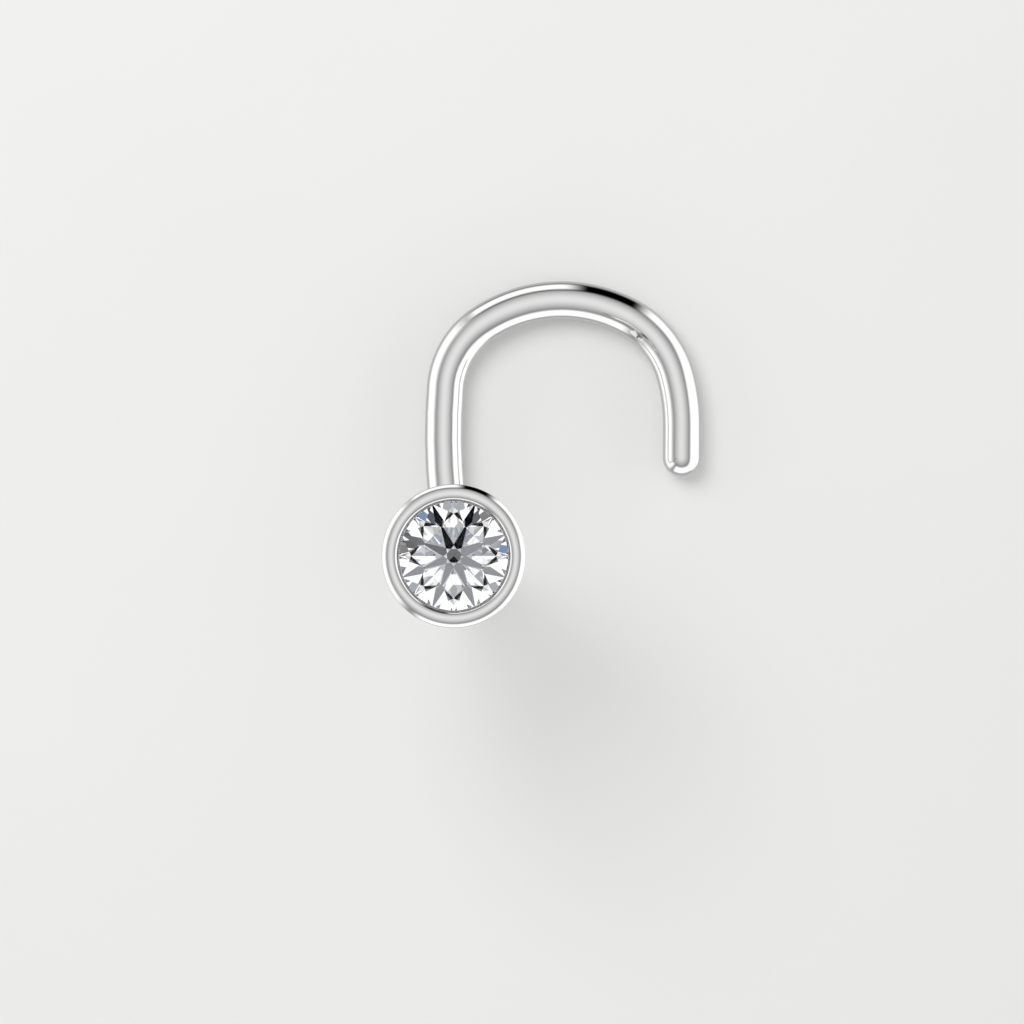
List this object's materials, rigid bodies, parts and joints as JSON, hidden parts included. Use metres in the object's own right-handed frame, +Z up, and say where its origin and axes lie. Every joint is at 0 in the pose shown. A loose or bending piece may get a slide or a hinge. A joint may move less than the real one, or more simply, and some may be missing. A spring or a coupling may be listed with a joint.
{
  "type": "nose screw stud with a bezel-set round stone",
  "caption": "Nostril stud: a round bezel holding a round brilliant on a straight post, whose wire turns square to the post and curls into an open hook that keeps it in the nose.",
  "frame": {"origin": "under the middle of the whole outline, on the surface that the hook lies on", "axes": "+Z up along the post, from the hook to the stone's table; +X from the post towards the hook's free leg; +Y from the stone towards the crown of the hook"},
  "size_m": [0.0068, 0.0074, 0.0078],
  "materials": {
    "polished_white_gold": "polished",
    "diamond": "polished"
  },
  "bodies": {
    "root": {"bezel_and_hook": "polished_white_gold", "stone": "diamond"}
  },
  "joints": []
}
